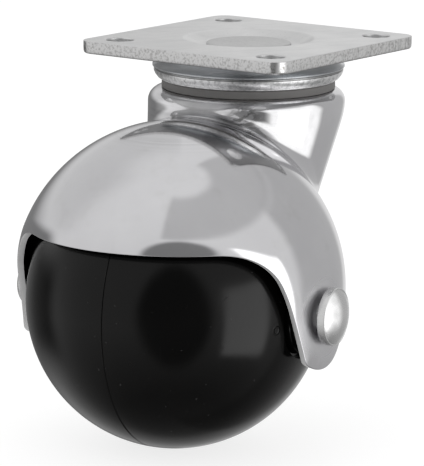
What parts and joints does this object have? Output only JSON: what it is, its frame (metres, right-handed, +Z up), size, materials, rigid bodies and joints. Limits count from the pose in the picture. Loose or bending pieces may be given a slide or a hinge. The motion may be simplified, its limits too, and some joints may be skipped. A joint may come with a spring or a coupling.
{
  "type": "hooded ball caster",
  "caption": "Furniture swivel caster with a ball wheel under a polished pressed-steel hood, on a square screw-on top plate.",
  "frame": {"origin": "centre of the plate's top face, on the swivel axis", "axes": "+Z up into the furniture; the plate's sides run along X and Y; at rest the ball trails towards -X, turned 8.5 degrees about +Z"},
  "size_m": [0.0717, 0.0613, 0.0658],
  "materials": {
    "zinc_plate": "satin zinc-plated stamped steel",
    "zinc_race": "bright zinc-plated pressed steel",
    "zinc_rivet": "satin zinc-plated steel",
    "steel_inner": "plain turned and pressed steel",
    "bearing_steel": "polished bearing steel",
    "dust_seal": "dull moulded plastic",
    "hood_chrome": "bright plated pressed steel",
    "axle_chrome": "bright plated rivet",
    "bush_plastic": "black acetal",
    "ball_black": "black semi-gloss moulded plastic"
  },
  "bodies": {
    "plate": {"top_plate": "zinc_plate", "upper_race": "zinc_race", "king_pin": "zinc_rivet", "king_pin_washer": "steel_inner", "lower_cup": "steel_inner"},
    "upper_ball_row": {"upper_balls": "bearing_steel"},
    "lower_ball_row": {"lower_balls": "bearing_steel"},
    "hood": {"hood": "hood_chrome", "dust_ring": "dust_seal", "axle": "axle_chrome", "axle_sleeve": "steel_inner", "spacer_near": "steel_inner", "spacer_far": "steel_inner"},
    "ball_wheel": {"ball_half_near": "ball_black", "ball_half_far": "ball_black", "hub_bush_near": "bush_plastic", "hub_bush_far": "bush_plastic"}
  },
  "joints": [
    {"name": "swivel", "type": "hinge", "parent": "plate", "child": "hood", "pos_m": [0, 0, 0], "axis": [0, 0, 1], "continuous": true},
    {"name": "upper_ball_roll", "type": "hinge", "parent": "plate", "child": "upper_ball_row", "pos_m": [0, 0, 0], "axis": [0, 0, 1], "continuous": true},
    {"name": "lower_ball_roll", "type": "hinge", "parent": "plate", "child": "lower_ball_row", "pos_m": [0, 0, 0], "axis": [0, 0, 1], "continuous": true},
    {"name": "wheel_spin", "type": "hinge", "parent": "hood", "child": "ball_wheel", "pos_m": [-0.02571, -0.00384, -0.0408], "axis": [-0.1478, 0.989, 0], "continuous": true}
  ],
  "couplings": [
    {"joint": "upper_ball_roll", "follows": "swivel", "ratio": 0.5},
    {"joint": "lower_ball_roll", "follows": "swivel", "ratio": 0.5}
  ]
}
